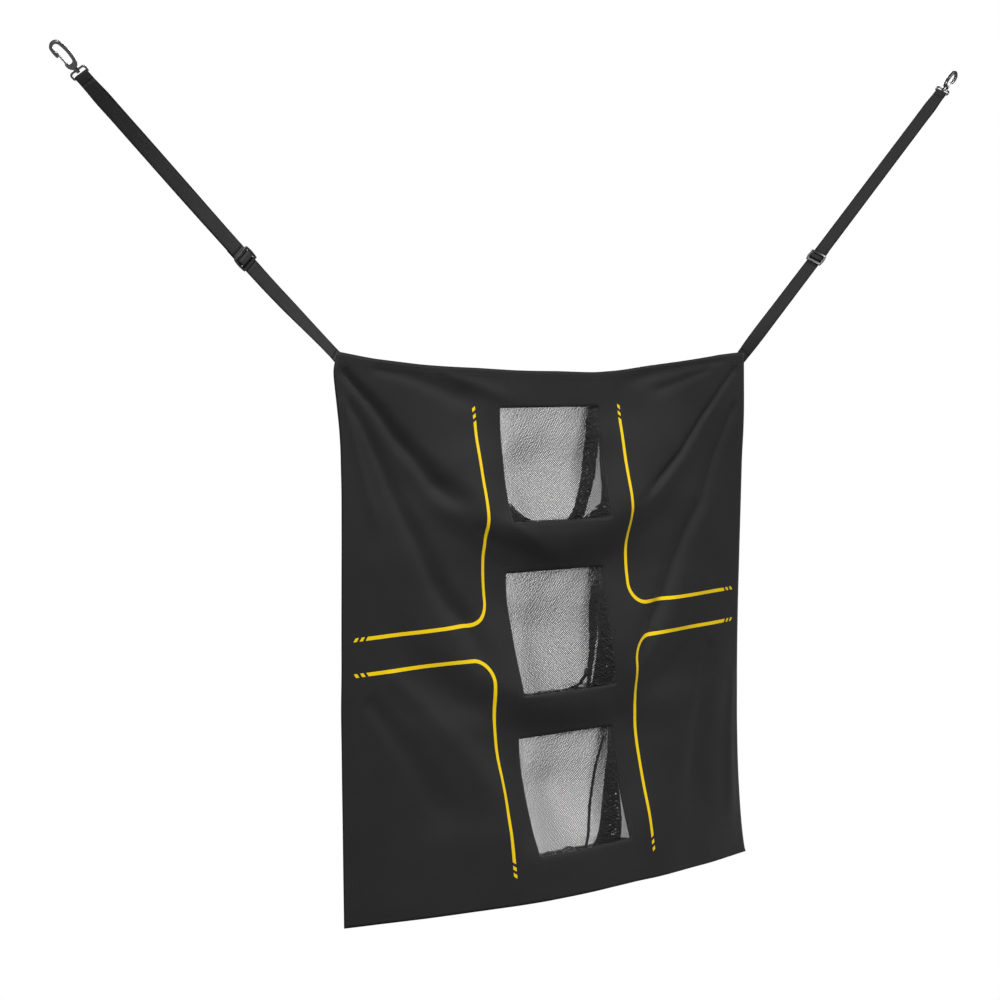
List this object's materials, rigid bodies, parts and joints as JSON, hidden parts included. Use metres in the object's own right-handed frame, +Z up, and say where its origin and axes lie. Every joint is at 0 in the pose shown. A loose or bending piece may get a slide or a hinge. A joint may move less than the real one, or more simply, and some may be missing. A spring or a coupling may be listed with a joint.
{
  "type": "pitching target net",
  "caption": "Hanging cloth pitching target with netted pocket windows in a column, hung from its top corners by adjustable webbing straps that end in swivel snap hooks.",
  "frame": {"origin": "midway between the sheet's two top corners, on the front of the cloth", "axes": "+X along the sheet's width towards the longer strap, +Y from the front to the back, +Z up"},
  "size_m": [2.1403, 0.1894, 1.5633],
  "materials": {
    "cloth": "matte woven",
    "net": "fine black mesh",
    "tape": "matte woven tape",
    "webbing": "woven webbing",
    "slider": "gloss",
    "black_metal": "gloss black",
    "gate_wire": "bright wire"
  },
  "bodies": {
    "target": {"target_sheet": "cloth", "upper_pocket_net": "net", "middle_pocket_net": "net", "lower_pocket_net": "net", "upper_rim_tape": "tape", "middle_rim_tape": "tape", "lower_rim_tape": "tape", "left_corner_patch": "tape", "right_corner_patch": "tape", "left_strap_anchor": "webbing", "right_strap_anchor": "webbing", "left_strap_lower_run": "webbing", "right_strap_lower_run": "webbing"},
    "left_slider": {"left_slider": "slider", "left_strap_slider_pass": "webbing", "left_strap_sewn_end": "webbing"},
    "left_loop": {"left_strap_front_run": "webbing", "left_strap_back_run": "webbing", "left_strap_eye_turn": "webbing"},
    "left_eye": {"left_swivel_eye": "black_metal"},
    "left_hook": {"left_hook": "black_metal"},
    "left_gate": {"left_hook_gate": "gate_wire"},
    "right_slider": {"right_slider": "slider", "right_strap_slider_pass": "webbing", "right_strap_sewn_end": "webbing"},
    "right_loop": {"right_strap_front_run": "webbing", "right_strap_back_run": "webbing", "right_strap_eye_turn": "webbing"},
    "right_eye": {"right_swivel_eye": "black_metal"},
    "right_hook": {"right_hook": "black_metal"},
    "right_gate": {"right_hook_gate": "gate_wire"}
  },
  "joints": [
    {"name": "left_slider_slide", "type": "slide", "parent": "target", "child": "left_slider", "axis": [-0.7385, 0, 0.6743], "range_m": [-0.165, 0.6], "deforming": ["left_strap_lower_run"]},
    {"name": "left_loop_slide", "type": "slide", "parent": "left_slider", "child": "left_loop", "axis": [-0.7385, 0, 0.6743], "range_m": [-0.3, 0.0825], "deforming": ["left_strap_front_run", "left_strap_back_run"]},
    {"name": "left_eye_tilt", "type": "hinge", "parent": "left_loop", "child": "left_eye", "pos_m": [-0.9533, 0.00661, 0.41879], "axis": [-0.4851, 0.6947, -0.5312], "range_deg": [-75, 75]},
    {"name": "left_hook_swivel", "type": "hinge", "parent": "left_eye", "child": "left_hook", "pos_m": [-0.9533, 0.00661, 0.41879], "axis": [-0.7385, 0, 0.6743], "continuous": true},
    {"name": "left_gate_open", "type": "hinge", "parent": "left_hook", "child": "left_gate", "pos_m": [-0.97524, 0.01106, 0.43259], "axis": [0.4684, 0.7193, 0.513], "range_deg": [0, 20], "stiffness_Nm_per_rad": 0.02, "springref_deg": -11.46},
    {"name": "right_slider_slide", "type": "slide", "parent": "target", "child": "right_slider", "axis": [0.7361, 0, 0.6769], "range_m": [-0.21, 0.86], "deforming": ["right_strap_lower_run"]},
    {"name": "right_loop_slide", "type": "slide", "parent": "right_slider", "child": "right_loop", "axis": [0.7361, 0, 0.6769], "range_m": [-0.43, 0.105], "deforming": ["right_strap_front_run", "right_strap_back_run"]},
    {"name": "right_eye_tilt", "type": "hinge", "parent": "right_loop", "child": "right_eye", "pos_m": [1.07812, 0.00638, 0.53851], "axis": [-0.4351, 0.766, 0.4732], "range_deg": [-79, 71]},
    {"name": "right_hook_swivel", "type": "hinge", "parent": "right_eye", "child": "right_hook", "pos_m": [1.07812, 0.00638, 0.53851], "axis": [0.7705, 0.0448, 0.6359], "continuous": true},
    {"name": "right_gate_open", "type": "hinge", "parent": "right_hook", "child": "right_gate", "pos_m": [1.10163, 0.00928, 0.54992], "axis": [0.208, -0.9606, -0.1842], "range_deg": [0, 20], "stiffness_Nm_per_rad": 0.02, "springref_deg": -11.46}
  ],
  "couplings": [
    {"joint": "left_loop_slide", "follows": "left_slider_slide", "ratio": -0.5},
    {"joint": "right_loop_slide", "follows": "right_slider_slide", "ratio": -0.5}
  ]
}
